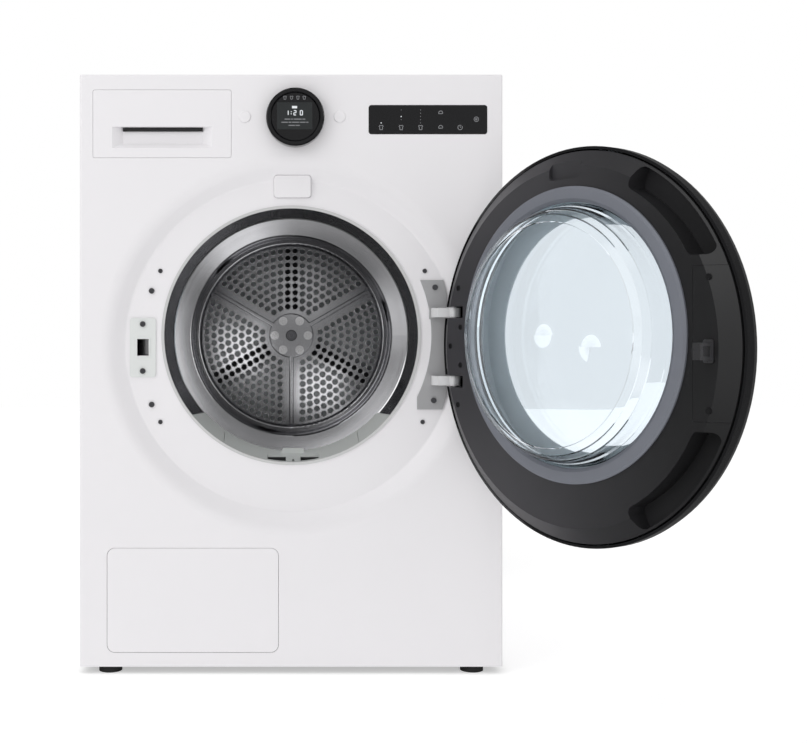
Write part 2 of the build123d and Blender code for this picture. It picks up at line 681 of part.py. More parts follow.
# ---- heat pump ----
COMPRESSOR = (195, FRONT + 205)
with BuildPart() as compressor:
    with BuildSketch(Plane.XY.offset(24)):
        with Locations(COMPRESSOR):
            Circle(56)
    extrude(amount=182)
    fillet(compressor.edges().group_by(Axis.Z)[-1], 20)
    with BuildSketch(Plane.XY.offset(PAN_FLOOR + GAP)):
        with Locations(COMPRESSOR):
            RectangleRounded(126, 126, 14)
    extrude(amount=12)
save(compressor, "compressor")

DUCT_FRONT, DUCT_LONG, DUCT_WALL = 30, 450, 2.5
with BuildPart() as exchanger_duct:
    block(DUCT, DUCT_FRONT, DUCT_LONG)
    block(grown(DUCT, -DUCT_WALL), DUCT_FRONT - 1, DUCT_LONG - DUCT_WALL + 1, Mode.SUBTRACT)
save(exchanger_duct, "exchanger_duct")

FIN_PITCH, FIN_THICK, TUBE_R = 8, 0.8, 4.5


def coil(depth, length):
    """A finned coil: upright fins across the duct with tubes running through them."""
    x0, x1, z0, z1 = grown(DUCT, -DUCT_WALL - 4)
    with BuildSketch(depth_plane(depth)) as fins:
        with Locations(((x0 + x1) / 2, (z0 + z1) / 2)):
            with GridLocations(FIN_PITCH, 0, int((x1 - x0) / FIN_PITCH), 1):
                Rectangle(FIN_THICK, z1 - z0)
    extrude(fins.sketch, amount=-length)
    with BuildSketch(Plane.YZ.offset(x0 - 1)) as tubes:
        with Locations((FRONT + depth + length / 2, (z0 + z1) / 2)):
            with GridLocations(30, 30, int(length / 32), 4):
                Circle(TUBE_R)
    extrude(tubes.sketch, amount=x1 - x0 + 2)


with BuildPart() as exchanger_coils:
    for depth, length in ((110, 100), (240, 170)):
        coil(depth, length)
save(exchanger_coils, "exchanger_coils")

PIPE_R = 4
with BuildPart() as refrigerant_pipes:
    for across, height, drop in ((190, 150, 60), (222, 132, 80)):
        start = COMPRESSOR[0] - 56 + 0.6
        run = [(start, height), (95, height), (95, drop), (DUCT[1] + 0.6, drop)]
        with BuildLine(depth_plane(across)) as route:
            FilletPolyline(*run, radius=15)
        with BuildSketch(Plane(origin=route.line @ 0, z_dir=route.line % 0)):
            Circle(PIPE_R)
        sweep(path=route.line)
save(refrigerant_pipes, "refrigerant_pipes")

with BuildPart() as condensate_pump:
    with BuildSketch(Plane.XY.offset(PAN_FLOOR + GAP)):
        with Locations((40, FRONT + 430)):
            Circle(20)
    extrude(amount=46)
    block((34, 46, 40, 52), 446, 26)
save(condensate_pump, "condensate_pump")

with BuildPart() as exchanger_cover:
    block((DUCT[0] + 1, DUCT[1] - 1, DUCT[2] + 1, DUCT[3] - 1), DUCT_FRONT - 6, 5.8, corner=6)
    for x in (-220, -84):
        block((x, x + 24, 80, 116), DUCT_FRONT - 16, 10.2, corner=5)
save(exchanger_cover, "exchanger_cover")

# ---- condenser flap ----
with BuildPart() as condenser_flap:
    block(FLAP, 0, 3, corner=11)
    block(grown(FLAP, -5), 3, 5)
    block(grown(FLAP, -7), 2.9, 6, Mode.SUBTRACT)
    fillet(condenser_flap.edges().group_by(Axis.Y)[0], 1)
    discs(PEGS, 4.5, 2.5, 6)
    discs(PEGS, PEG_R, 3, PEG_BACK - 3)
save(condenser_flap, "condenser_flap")

# ---- water drawer ----
DRAWER_THICK = 18
SCOOP, SCOOP_FLOOR, SCOOP_DEEP = (-254, -112, 745.6, 775.8), (-240, -126, 753, 775.8), 10
SLOT_LOW, SLOT_BACK = 770.4, 15.5
with BuildPart() as drawer_front:
    block(DRAWER, 0, DRAWER_THICK, corner=3)
    block(grown(DRAWER, -3), 3, DRAWER_THICK, Mode.SUBTRACT)
    block((SCOOP[0] - 3, SCOOP[1] + 3, SCOOP[2] - 4, SCOOP[3] + 16), 2, DRAWER_THICK - 2)
    with BuildSketch(depth_plane(-0.01)) as mouth:
        with Locations(((SCOOP[0] + SCOOP[1]) / 2, (SCOOP[2] + SCOOP[3]) / 2)):
            Rectangle(SCOOP[1] - SCOOP[0], SCOOP[3] - SCOOP[2])
    with BuildSketch(depth_plane(SCOOP_DEEP)) as floor:
        with Locations(((SCOOP_FLOOR[0] + SCOOP_FLOOR[1]) / 2, (SCOOP_FLOOR[2] + SCOOP_FLOOR[3]) / 2)):
            Rectangle(SCOOP_FLOOR[1] - SCOOP_FLOOR[0], SCOOP_FLOOR[3] - SCOOP_FLOOR[2])
    loft([mouth.sketch, floor.sketch], mode=Mode.SUBTRACT)
    block((SCOOP_FLOOR[0], SCOOP_FLOOR[1], SLOT_LOW, SCOOP[3]), 4, SLOT_BACK - 4, Mode.SUBTRACT)
    block((SCOOP_FLOOR[0], SCOOP_FLOOR[1], SLOT_LOW, SCOOP[3] + 12), 6, SLOT_BACK - 6, Mode.SUBTRACT)
save(drawer_front, "drawer_front")

with BuildPart() as water_tank:
    block(TANK, DRAWER_THICK + GAP, 420, corner=6)
    block(grown(TANK, -2), DRAWER_THICK + GAP + 2, 416, Mode.SUBTRACT, corner=4)
    with BuildSketch(Plane.XY.offset(TANK[3] - 4)):
        with Locations(((TANK[0] + TANK[1]) / 2, FRONT + 60)):
            Circle(14)
    extrude(amount=8, mode=Mode.SUBTRACT)
save(water_tank, "water_tank")

with BuildPart() as drawer_bay:
    block(BAY, DRAWER_THICK + 1.4, 440)
    block(grown(BAY, -1.5), DRAWER_THICK, 439.9, Mode.SUBTRACT)
save(drawer_bay, "drawer_bay")

# ---- controls ----
BOARD_DEPTH = 30
with BuildPart() as control_board:
    block((-76, 290, 752, 824), BOARD_DEPTH, 1.6)
    for x, wide, high, deep in ((150, 40, 30, 18), (215, 26, 36, 26), (250, 22, 22, 30), (60, 30, 24, 10)):
        block((x, x + wide, 765, 765 + high), BOARD_DEPTH + 1.6, deep)
save(control_board, "control_board")

with BuildPart() as touch_panel:
    block(TOUCH, -0.4, 4, corner=4)
    block(grown(TOUCH, -6), 3.6, 10)
save(touch_panel, "touch_panel")

DIAL_PROUD, DISPLAY_R = 17.5, 34.42
with BuildPart() as dial_ring:
    turned(
        [
            (DISPLAY_R + RUN, 1.5 - DIAL_PROUD),
            (DISPLAY_R + 1.2, -DIAL_PROUD),
            (DIAL_R - 1.8, -DIAL_PROUD),
            (DIAL_R, 2 - DIAL_PROUD),
            (DIAL_R, -0.5),
            (37.2, -0.5),
            (37.2, 9),
            (DISPLAY_R + RUN, 9),
        ],
        (DIAL_X, DIAL_Z),
    )
save(dial_ring, "dial_ring")

with BuildPart() as dial_display:
    turned(
        [
            (0, 1.0 - DIAL_PROUD),
            (DISPLAY_R - 1, 1.4 - DIAL_PROUD),
            (DISPLAY_R, 2.4 - DIAL_PROUD),
            (DISPLAY_R, 12),
            (10, 12),
            (10, BOARD_DEPTH - GAP),
            (0, BOARD_DEPTH - GAP),
        ],
        (DIAL_X, DIAL_Z),
    )
save(dial_display, "dial_display")

for name, (x, z) in BUTTONS.items():
    with BuildPart() as button:
        cap = [(0, -1.3), (BUTTON_R - 1, -1.3), (BUTTON_R, -0.6), (BUTTON_R, 1.6)]
        stem = [(10, 1.6), (10, 3.4), (4, 3.4), (4, 24), (0, 24)]
        turned([*cap, *stem], (x, z))
    save(button, name)

# ---- rear connections ----
with BuildPart() as cord_gland:
    turned(
        [
            (4.5, BODY_DEPTH - 12),
            (9, BODY_DEPTH - 12),
            (9, BODY_DEPTH + GAP),
            (14, BODY_DEPTH + GAP),
            (14, BODY_DEPTH + 4),
            (8, BODY_DEPTH + 12),
            (4.5, BODY_DEPTH + 12),
        ],
        GLAND,
    )
save(cord_gland, "cord_gland")

with BuildPart() as drain_spigot:
    turned(
        [
            (5.5, BODY_DEPTH - 12),
            (8, BODY_DEPTH - 12),
            (8, BODY_DEPTH + GAP),
            (15, BODY_DEPTH + GAP),
            (15, BODY_DEPTH + 3),
            (8, BODY_DEPTH + 3),
            (8, COVER_DEPTH),
            (5.5, COVER_DEPTH),
        ],
        SPIGOT,
    )
save(drain_spigot, "drain_spigot")

# ---- hinge bracket, pins and strike plate, fixed to the recess floor ----
PLATE_FACE = RECESS_DEPTH - 2.6
with BuildPart() as hinge_bracket:
    with BuildSketch(depth_plane(PLATE_FACE)):
        with BuildLine():
            Polyline((150, 559), (217, 559), (222, 540), (222, 394), (216, 374), (150, 374), close=True)
        make_face()
        with Locations(DRUM_AXIS):
            Circle(200.5, mode=Mode.SUBTRACT)
        with Locations((150, 466)):
            Rectangle(60, 200, mode=Mode.SUBTRACT)
    extrude(amount=-2.5)
    discs(BRACKET_SCREWS, SHANK_R + RUN, PLATE_FACE - 1, 5, Mode.SUBTRACT)
    for z in HINGE_ARM_Z:
        with BuildSketch(Plane.XY.offset(z - ARM_HALF)):
            with BuildLine():
                Polyline(
                    (199.5, FRONT + PLATE_FACE),
                    (199.5, HINGE_Y + 4),
                    (206, HINGE_Y - 3.5),
                    (HINGE_X, HINGE_Y - 5),
                    (HINGE_X, HINGE_Y + 3),
                    (209, HINGE_Y + 3),
                    (204.5, HINGE_Y + 8),
                    (204.5, FRONT + PLATE_FACE),
                    close=True,
                )
            make_face()
            with Locations((HINGE_X, HINGE_Y)):
                Circle(EYE_R)
        extrude(amount=2 * ARM_HALF)
        block((197, 207, z - 9, z + 9), PLATE_FACE - 2, 2.2)
        with BuildSketch(Plane.XY.offset(z - ARM_HALF - 1)):
            with Locations((HINGE_X, HINGE_Y)):
                Circle(PIN_R + 0.02)
        extrude(amount=2 * ARM_HALF + 2, mode=Mode.SUBTRACT)
save(hinge_bracket, "hinge_bracket")

PIN_HALF = 20
with BuildPart() as hinge_pins:
    for z in HINGE_ARM_Z:
        with BuildSketch(Plane.XY.offset(z - PIN_HALF)):
            with Locations((HINGE_X, HINGE_Y)):
                Circle(PIN_R)
        extrude(amount=2 * PIN_HALF)
save(hinge_pins, "hinge_pins")

STRIKE = (-230.5, -193.5, 420.2, 504.8)
CATCH_MOUTH = (-220, -203.5, 450.3, 474.7)
with BuildPart() as strike_plate:
    block(STRIKE, RECESS_DEPTH - 2.1, 2, corner=4)
    block(grown(CATCH_MOUTH, 2), RECESS_DEPTH - 3, 2, corner=2)
    block(CATCH_MOUTH, 5, 15, Mode.SUBTRACT)
    discs(STRIKE_SCREWS, SHANK_R + RUN, RECESS_DEPTH - 3, 5, Mode.SUBTRACT)
save(strike_plate, "strike_plate")

with BuildPart() as cabinet_screws:
    for points, depth in SCREW_SETS:
        discs(points, HEAD_R, depth - HEAD_HIGH - 0.05, HEAD_HIGH)
        discs(points, SHANK_R, depth - 0.1, 8)
        discs(points, 1.3, depth - HEAD_HIGH - 0.1, 1, Mode.SUBTRACT)
    discs(RECESS_RIVETS, 3.2, RECESS_DEPTH - 1.3, 1.2)
    discs(RECESS_RIVETS, 2.2, RECESS_DEPTH - 0.2, 4)
    discs(RECESS_RIVETS, 1.4, RECESS_DEPTH - 1.4, 1.6, Mode.SUBTRACT)
    rear_sets = (
        (REAR_SCREWS, BODY_DEPTH),
        (COVER_SCREWS, COVER_FRONT + COVER_WALL),
        (SPIDER_SCREWS, SPIDER + 8),
    )
    for points, depth in rear_sets:
        discs(points, HEAD_R, depth + 0.05, HEAD_HIGH)
        discs(points, SHANK_R, depth - 11, 11.1)
save(cabinet_screws, "cabinet_screws")

# ---- door, made where it stands open ----
# Its own frame: x from the hinge side to the free side, y up, height h towards the cabinet when
# shut, with h = 0 in the plane of the cabinet's front face.
swing = radians(DOOR_OPEN)
DOOR_INWARD = Vector(-sin(swing), cos(swing), 0)
DOOR_ACROSS = Vector(-cos(swing), -sin(swing), 0)
DOOR_CENTRE = (
    Vector(HINGE_X, HINGE_Y, DOOR_Z) + DOOR_ACROSS * HINGE_X + DOOR_INWARD * HINGE_PROUD
)
GLASS_CENTRE = (0, GLASS_RISE)


def door_plane(height):
    return Plane(origin=DOOR_CENTRE + DOOR_INWARD * height, x_dir=DOOR_ACROSS, z_dir=DOOR_INWARD)


def door_block(limits, low, high, mode=Mode.ADD, corner=0):
    x0, x1, y0, y1 = limits
    with BuildSketch(door_plane(low)) as outline:
        with Locations(((x0 + x1) / 2, (y0 + y1) / 2)):
            if corner:
                RectangleRounded(x1 - x0, y1 - y0, corner)
            else:
                Rectangle(x1 - x0, y1 - y0)
    extrude(outline.sketch, amount=high - low, mode=mode)


def door_discs(points, radius, low, high, mode=Mode.ADD):
    with BuildSketch(door_plane(low)) as outline:
        with Locations(*points):
            Circle(radius)
    extrude(outline.sketch, amount=high - low, mode=mode)


def door_turned(profile, centre=(0, 0), mode=Mode.ADD):
    """Revolve a closed outline of (radius, height) points about an axis square to the door."""
    middle = door_plane(0).from_local_coords(Vector(*centre, 0))
    across = Plane(origin=middle, x_dir=DOOR_ACROSS, z_dir=DOOR_ACROSS.cross(DOOR_INWARD))
    with BuildSketch(across) as section:
        with BuildLine():
            Polyline(*profile, close=True)
        make_face()
    revolve(section.sketch, axis=Axis(middle, DOOR_INWARD), mode=mode)


def door_pocket(radii, ends, by, low, high, corner, mode=Mode.ADD):
    """Part of a ring between two radii, from a level y round to an angle, its ends moved out a little."""
    (inner, outer), (y, angle) = radii, ends
    away = by if y > 0 else -by
    y, slope = y - away, tan(radians(angle + away / 4))
    far = 2 * outer
    with BuildSketch(door_plane(low)) as outline:
        Circle(outer)
        Circle(inner, mode=Mode.SUBTRACT)
        Polygon((y / slope, y), (far, y), (far, far * slope), align=None, mode=Mode.INTERSECT)
        fillet(outline.vertices(), corner)
    extrude(outline.sketch, amount=high - low, mode=mode)


FACE, SKIN = 8, 2.5  # the inner cover's flat face, and its thickness
COVER_R, FACE_R, COVER_EDGE = 243.5, 224, -6.5
NOTCH_HALF = ARM_HALF + 1.5
NOTCHES = [(-252, -191, z - DOOR_Z - NOTCH_HALF, z - DOOR_Z + NOTCH_HALF) for z in HINGE_ARM_Z]
POCKET_NOTCHES = [(-252, -234.5, y, y + 9) for y in (30, -41)]  # beside the arms
NOTCH_LOW = -HINGE_PROUD - EYE_R - 1.5
LATCH = (190, 250, -81, 92)
HOOK = (212, -2.7)
LATCH_SCREWS = [(211, 79), (211, -68)]
HINGE_SCREWS = [(-200, 80), (-217, 0), (-201, -81), (-196, 26), (-196, -26)]
GLASS_R, CLEAR_R = 163.5, 150
FUNNEL_LOW = -34
POCKETS = [(104, 63), (-92, -63)]  # level of one end, angle of the other
POCKET_IN, POCKET_LOW = 212, -20
OUTSIDE = [(FACE_R, FACE), (COVER_R, COVER_EDGE), (260, COVER_EDGE), (260, 30), (FACE_R, 30)]
COVER_PROFILE = [
    (120, FACE),
    (FACE_R, FACE),
    (COVER_R, COVER_EDGE),
    (COVER_R, -14),
    (COVER_R - SKIN, -14),
    (COVER_R - SKIN, COVER_EDGE - 1),
    (FACE_R - 1, FACE - SKIN),
    (120, FACE - SKIN),
]

with BuildPart() as door_inner_cover:
    door_turned(COVER_PROFILE)
    door_block(LATCH, -20, FACE + 1, Mode.SUBTRACT)
    with BuildSketch(door_plane(0)):
        Circle(FACE_R - 3)
        with Locations(((LATCH[0] + LATCH[1]) / 2, (LATCH[2] + LATCH[3]) / 2)):
            Rectangle(LATCH[1] - LATCH[0] + 8, LATCH[3] - LATCH[2] + 6, mode=Mode.INTERSECT)
    extrude(amount=FACE - SKIN + 0.5)
    door_block(LATCH, FACE - SKIN - GAP, FACE + 1, Mode.SUBTRACT)
    for ends in POCKETS:
        door_pocket((POCKET_IN - SKIN, COVER_R), ends, SKIN, POCKET_LOW - SKIN, FACE - 0.5, 10)
    door_block((-31, 27, 206, 236), 0, FACE - 0.5)
    with BuildSketch(door_plane(-21)):
        Circle(COVER_R)
        with Locations((-229, 0)):
            Rectangle(30, 148, mode=Mode.INTERSECT)
    extrude(amount=26)
    door_turned(OUTSIDE, mode=Mode.SUBTRACT)
    door_block((-28, 24, 209, 231.5), 2.6, FACE + 1, Mode.SUBTRACT, corner=5)
    for ends in POCKETS:
        door_pocket((POCKET_IN, COVER_R - SKIN), ends, 0, POCKET_LOW, 20, 8, Mode.SUBTRACT)
    door_discs([GLASS_CENTRE], 183.5, FUNNEL_LOW, FACE - SKIN)
    door_discs([GLASS_CENTRE], 181, FUNNEL_LOW + 2, FACE - SKIN, Mode.SUBTRACT)
    door_discs([GLASS_CENTRE], CLEAR_R, FUNNEL_LOW - 1, 0, Mode.SUBTRACT)
    door_discs([GLASS_CENTRE], GLASS_R + 2.5, 0, 20, Mode.SUBTRACT)
    for notch in NOTCHES + POCKET_NOTCHES:
        door_block(notch, NOTCH_LOW, 20, Mode.SUBTRACT)
    for screw in HINGE_SCREWS:
        door_discs([screw], 6, -4, FACE - 1)
    door_discs(HINGE_SCREWS, 4, FACE - 2.4, FACE + 1, Mode.SUBTRACT)
    door_discs(HINGE_SCREWS, 1.6, -3, FACE, Mode.SUBTRACT)
    door_discs(LATCH_SCREWS, 5, -8, 0.2)
    for x, y in LATCH_SCREWS:
        door_block((x - 15, x - 2, y - 5, y + 5), -6, 2.6)
    door_discs(LATCH_SCREWS, 1.6, -7, FACE, Mode.SUBTRACT)
    for z in HINGE_ARM_Z:
        with BuildSketch(Plane.XY.offset(z - PIN_HALF - 1)):
            with Locations((HINGE_X, HINGE_Y)):
                Circle(PIN_R + RUN)
        extrude(amount=2 * PIN_HALF + 2, mode=Mode.SUBTRACT)
save(door_inner_cover, "door_inner_cover")

with BuildPart() as latch_cover:
    door_turned([(180, FACE), *COVER_PROFILE[1:-1], (180, FACE - SKIN)])
    x0, x1, y0, y1 = LATCH
    door_block((x0 + 0.3, x1, y0 + 0.3, y1 - 0.3), -20, FACE + 1, Mode.INTERSECT)
    door_discs(LATCH_SCREWS, 4, FACE - 1.2, FACE + 1, Mode.SUBTRACT)
    door_discs(LATCH_SCREWS, 1.6, 0, FACE, Mode.SUBTRACT)
save(latch_cover, "latch_cover")

RIM_IN = COVER_R + 2
with BuildPart() as door_rim:
    door_turned(
        [
            (DOOR_R, -8),
            (DOOR_R, -20),
            (DOOR_R - 2.5, -28),
            (DOOR_R - 10, -34),
            (DOOR_R - 20, -37),
            (192.6, -39.5),
            (192.6, -37),
            (DOOR_R - 20, -34.5),
            (DOOR_R - 11.5, -31.5),
            (DOOR_R - 5, -26.5),
            (RIM_IN, -19.5),
            (RIM_IN, -8),
        ]
    )
    for notch in NOTCHES:
        door_block(notch, NOTCH_LOW, 20, Mode.SUBTRACT)
save(door_rim, "door_rim")

with BuildPart() as door_window:
    door_turned([(0, -40.2), (150, -39.9), (192.3, -39.4), (192.3, -37.2), (150, -36.8), (0, -36.6)])
save(door_window, "door_window")

with BuildPart() as door_bowl:
    door_turned(
        [
            (178, FACE - SKIN - 0.3),
            (178, 1),
            (157, 1),
            (155, 8),
            (151, 30),
            (146, 39),
            (138, 43),
            (0, 44),
            (0, 48),
            (139, 47),
            (149, 42),
            (155, 32),
            (160, 14),
            (GLASS_R, FACE - SKIN - 0.3),
        ],
        GLASS_CENTRE,
    )
save(door_bowl, "door_bowl")

with BuildPart() as door_gasket:
    door_turned(
        [
            (GLASS_R + 1, FACE + 0.1),
            (184, FACE + 0.1),
            (184, 10.5),
            (181, 13),
            (169, 13),
            (GLASS_R + 1, 10.5),
        ],
        GLASS_CENTRE,
    )
save(door_gasket, "door_gasket")

with BuildPart() as door_hook:
    x, y = HOOK
    door_block((x - 7, x + 7, y - 13, y + 13), FACE + 0.1, 10.2, corner=3)
    door_block((x - 5, x + 5, y - 9.5, y + 9.5), 10, 30)
    door_block((x - 6, x + 6, y - 5.5, y + 5.5), 14, 25, Mode.SUBTRACT)
save(door_hook, "door_hook")

with BuildPart() as door_screws:
    door_discs(HINGE_SCREWS, 3.6, FACE - 2.3, FACE - 0.8)
    door_discs(HINGE_SCREWS, 1.5, -2.5, FACE - 2.2)
    door_discs(LATCH_SCREWS, 3.6, FACE - 1.1, FACE + 0.4)
    door_discs(LATCH_SCREWS, 1.5, -6, FACE - 1)
save(door_screws, "door_screws")
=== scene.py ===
"""Looks for the front-loading clothes dryer: materials, printed marks, floor, light and camera."""

from math import asin, cos, pi, radians, sin

import bmesh
import bpy
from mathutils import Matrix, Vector


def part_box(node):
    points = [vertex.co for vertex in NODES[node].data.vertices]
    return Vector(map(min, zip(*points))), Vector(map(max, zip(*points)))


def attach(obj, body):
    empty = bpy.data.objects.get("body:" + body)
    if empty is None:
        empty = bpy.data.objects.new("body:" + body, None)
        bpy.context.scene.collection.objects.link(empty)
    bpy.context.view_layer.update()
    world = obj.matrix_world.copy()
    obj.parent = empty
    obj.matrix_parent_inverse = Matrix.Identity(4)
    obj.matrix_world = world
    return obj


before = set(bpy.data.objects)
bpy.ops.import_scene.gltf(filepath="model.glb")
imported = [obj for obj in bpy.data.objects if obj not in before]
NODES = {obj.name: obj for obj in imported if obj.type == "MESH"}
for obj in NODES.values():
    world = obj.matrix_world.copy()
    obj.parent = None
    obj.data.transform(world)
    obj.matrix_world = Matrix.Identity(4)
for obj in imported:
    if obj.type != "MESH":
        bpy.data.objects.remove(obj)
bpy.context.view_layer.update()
DRUM = Vector((0, 0, 0.480))
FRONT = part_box("front_panel")[0].y
HINGE = Vector((0.230, FRONT - 0.011, 0))
OPEN = radians(123.4)
DOOR_NORMAL = Vector((-sin(OPEN), cos(OPEN), 0))  # towards the cabinet when the door is shut
DOOR_ACROSS = Vector((-cos(OPEN), -sin(OPEN), 0))  # from the hinge side to the free side
GLASS_MIDDLE = HINGE + DOOR_ACROSS * 0.230 + DOOR_NORMAL * 0.011 + Vector((0, 0, 0.480))


# ---- materials ----
# A Mix node's sockets go by number, as its float and colour sockets share their names.
FLOAT_A, FLOAT_B, COLOUR_A, COLOUR_B = 2, 3, 6, 7


def new_material(name, **sockets):
    material = bpy.data.materials.new(name)
    material.use_nodes = True
    shader = material.node_tree.nodes["Principled BSDF"]
    for socket, value in sockets.items():
        shader.inputs[socket.replace("_", " ")].default_value = value
    return material, material.node_tree, shader


def add(tree, kind, **settings):
    node = tree.nodes.new(kind)
    for name, value in settings.items():
        if name in node.inputs:
            node.inputs[name].default_value = value
        else:
            setattr(node, name, value)
    return node


def noise(tree, vector, scale, detail=3.0):
    node = add(tree, "ShaderNodeTexNoise", Scale=scale, Detail=detail)
    tree.links.new(vector, node.inputs["Vector"])
    return node.outputs["Fac"]


def ranged(tree, value, low, high):
    node = add(tree, "ShaderNodeMapRange")
    node.inputs["From Min"].default_value = 0.3
    node.inputs["From Max"].default_value = 0.7
    node.inputs["To Min"].default_value = low
    node.inputs["To Max"].default_value = high
    tree.links.new(value, node.inputs["Value"])
    return node.outputs["Result"]


def tinted(tree, factor, first, second):
    node = add(tree, "ShaderNodeMix", data_type="RGBA")
    node.inputs[COLOUR_A].default_value = (*first, 1)
    node.inputs[COLOUR_B].default_value = (*second, 1)
    tree.links.new(factor, node.inputs[0])
    return node.outputs[2]


def bumped(tree, shader, height, strength, distance):
    node = add(tree, "ShaderNodeBump", Strength=strength, Distance=distance)
    tree.links.new(height, node.inputs["Height"])
    tree.links.new(node.outputs["Normal"], shader.inputs["Normal"])


def here(tree):
    """The shaded point's place in the frame."""
    return add(tree, "ShaderNodeTexCoord").outputs["Object"]


def surface(name, colour, rough, mottle=0.03, grain=900, bump=0.15, depth=0.00005, **sockets):
    """A coated or moulded surface: slight blotches, uneven gloss and a fine grain."""
    material, tree, shader = new_material(name, **sockets)
    where = here(tree)
    blotch = noise(tree, where, 9)
    fine = noise(tree, where, grain, 2)
    darker = [max(c * (1 - mottle), 0) for c in colour]
    lighter = [min(c * (1 + mottle), 1) for c in colour]
    shade = tinted(tree, ranged(tree, blotch, 0, 1), darker, lighter)
    tree.links.new(shade, shader.inputs["Base Color"])
    tree.links.new(ranged(tree, fine, rough * 0.9, rough * 1.1), shader.inputs["Roughness"])
    bumped(tree, shader, fine, bump, depth)
    return material


def turned_metal(name, colour, rough, centre):
    """Bright metal with fine concentric marks round an axis along Y."""
    material, tree, shader = new_material(name, Metallic=1.0)
    where = here(tree)
    shift = add(tree, "ShaderNodeVectorMath", operation="SUBTRACT")
    shift.inputs[1].default_value = (centre.x, 0, centre.z)
    flat = add(tree, "ShaderNodeVectorMath", operation="MULTIPLY")
    flat.inputs[1].default_value = (1, 0, 1)
    radius = add(tree, "ShaderNodeVectorMath", operation="LENGTH")
    split = add(tree, "ShaderNodeSeparateXYZ")
    join = add(tree, "ShaderNodeCombineXYZ")
    tree.links.new(where, shift.inputs[0])
    tree.links.new(shift.outputs[0], flat.inputs[0])
    tree.links.new(flat.outputs[0], radius.inputs[0])
    tree.links.new(where, split.inputs[0])
    tree.links.new(radius.outputs["Value"], join.inputs["X"])
    tree.links.new(split.outputs["Y"], join.inputs["Y"])
    fine = noise(tree, join.outputs[0], 1800, 2)
    blotch = noise(tree, where, 14)
    darker, lighter = [c * 0.92 for c in colour], [min(c * 1.05, 1) for c in colour]
    shade = tinted(tree, ranged(tree, blotch, 0, 1), darker, lighter)
    tree.links.new(shade, shader.inputs["Base Color"])
    tree.links.new(ranged(tree, fine, rough * 0.8, rough * 1.25), shader.inputs["Roughness"])
    bumped(tree, shader, fine, 0.12, 0.00002)
    return material


def glass(name, colour, **sockets):
    """Clear glass, slightly wavy and faintly smeared."""
    material, tree, shader = new_material(name, Transmission_Weight=1.0, IOR=1.47, **sockets)
    where = here(tree)
    wave = noise(tree, where, 11)
    smear = noise(tree, where, 55)
    lighter = [min(c * 1.01, 1) for c in colour]
    shade = tinted(tree, ranged(tree, wave, 0, 1), colour, lighter)
    tree.links.new(shade, shader.inputs["Base Color"])
    tree.links.new(ranged(tree, smear, 0.0, 0.02), shader.inputs["Roughness"])
    bumped(tree, shader, wave, 0.006, 0.0002)
    return material


def masked(material, factor, colour):
    """Gives part of a material a second colour, where factor is 1."""
    tree = material.node_tree
    base = tree.nodes["Principled BSDF"].inputs["Base Color"]
    mix = add(tree, "ShaderNodeMix", data_type="RGBA")
    mix.inputs[COLOUR_B].default_value = (*colour, 1)
    tree.links.new(factor, mix.inputs[0])
    tree.links.new(base.links[0].from_socket, mix.inputs[COLOUR_A])
    tree.links.new(mix.outputs[2], base)


def maths(tree, operation, first, second=None, level=None):
    node = add(tree, "ShaderNodeMath", operation=operation)
    tree.links.new(first, node.inputs[0])
    if second is not None:
        tree.links.new(second, node.inputs[1])
    if level is not None:
        node.inputs[1].default_value = level
    return node.outputs[0]


def along(tree, centre, direction):
    """How far the shaded point lies from a centre along a direction."""
    offset = add(tree, "ShaderNodeVectorMath", operation="SUBTRACT")
    offset.inputs[1].default_value = centre
    reach = add(tree, "ShaderNodeVectorMath", operation="DOT_PRODUCT")
    reach.inputs[1].default_value = direction
    tree.links.new(here(tree), offset.inputs[0])
    tree.links.new(offset.outputs[0], reach.inputs[0])
    return reach.outputs["Value"]


def within(material, centre, radius, low, colour):
    """A second colour near the door's own axis and below a height on it."""
    tree = material.node_tree
    side = along(tree, centre, DOOR_ACROSS)
    rise = along(tree, centre, (0, 0, 1))
    squares = [maths(tree, "MULTIPLY", reach, reach) for reach in (side, rise)]
    square = maths(tree, "ADD", *squares)
    near = maths(tree, "LESS_THAN", square, level=radius**2)
    sunk = maths(tree, "LESS_THAN", along(tree, centre, DOOR_NORMAL), level=low)
    masked(material, maths(tree, "MULTIPLY", near, sunk), colour)


def in_front(material, limit, colour):
    """A second colour for what stands in front of a depth."""
    tree = material.node_tree
    depth = along(tree, (0, 0, 0), (0, 1, 0))
    masked(material, maths(tree, "LESS_THAN", depth, level=limit), colour)


def fading(material, centre, direction, start, end, colour):
    """A second colour that comes in gradually along a direction."""
    tree = material.node_tree
    blend = add(tree, "ShaderNodeMapRange", interpolation_type="SMOOTHSTEP")
    blend.inputs["From Min"].default_value = start
    blend.inputs["From Max"].default_value = end
    tree.links.new(along(tree, centre, direction), blend.inputs["Value"])
    masked(material, blend.outputs["Result"], colour)


ENAMEL = surface("white_enamel", (0.86, 0.845, 0.865), 0.42, 0.004, 1500, 0.05, 0.00003, Coat_Weight=0.1)
PLASTIC = surface("white_plastic", (0.86, 0.845, 0.865), 0.42, 0.005, 1800, 0.08, 0.00003)
PALE = surface("pale_grey_plastic", (0.60, 0.60, 0.60), 0.42, 0.02, 1600, 0.12)
FILTER = surface("filter_plastic", (0.56, 0.58, 0.57), 0.42, 0.02, 1600, 0.12)
MIST = surface("mist_grey_plastic", (0.74, 0.76, 0.75), 0.45, 0.02, 1600, 0.12)
CHARCOAL = surface("charcoal_plastic", (0.044, 0.043, 0.048), 0.42, 0.08, 2200, 0.3)
LATCH = surface("latch_plastic", (0.050, 0.050, 0.053), 0.42, 0.08, 2200, 0.3)
BLACK = surface("black_plastic", (0.016, 0.016, 0.017), 0.5, 0.1, 1500, 0.25)
PIANO = surface("piano_black", (0.005, 0.005, 0.006), 0.10, 0.1, 300, 0.02, Coat_Weight=0.3)
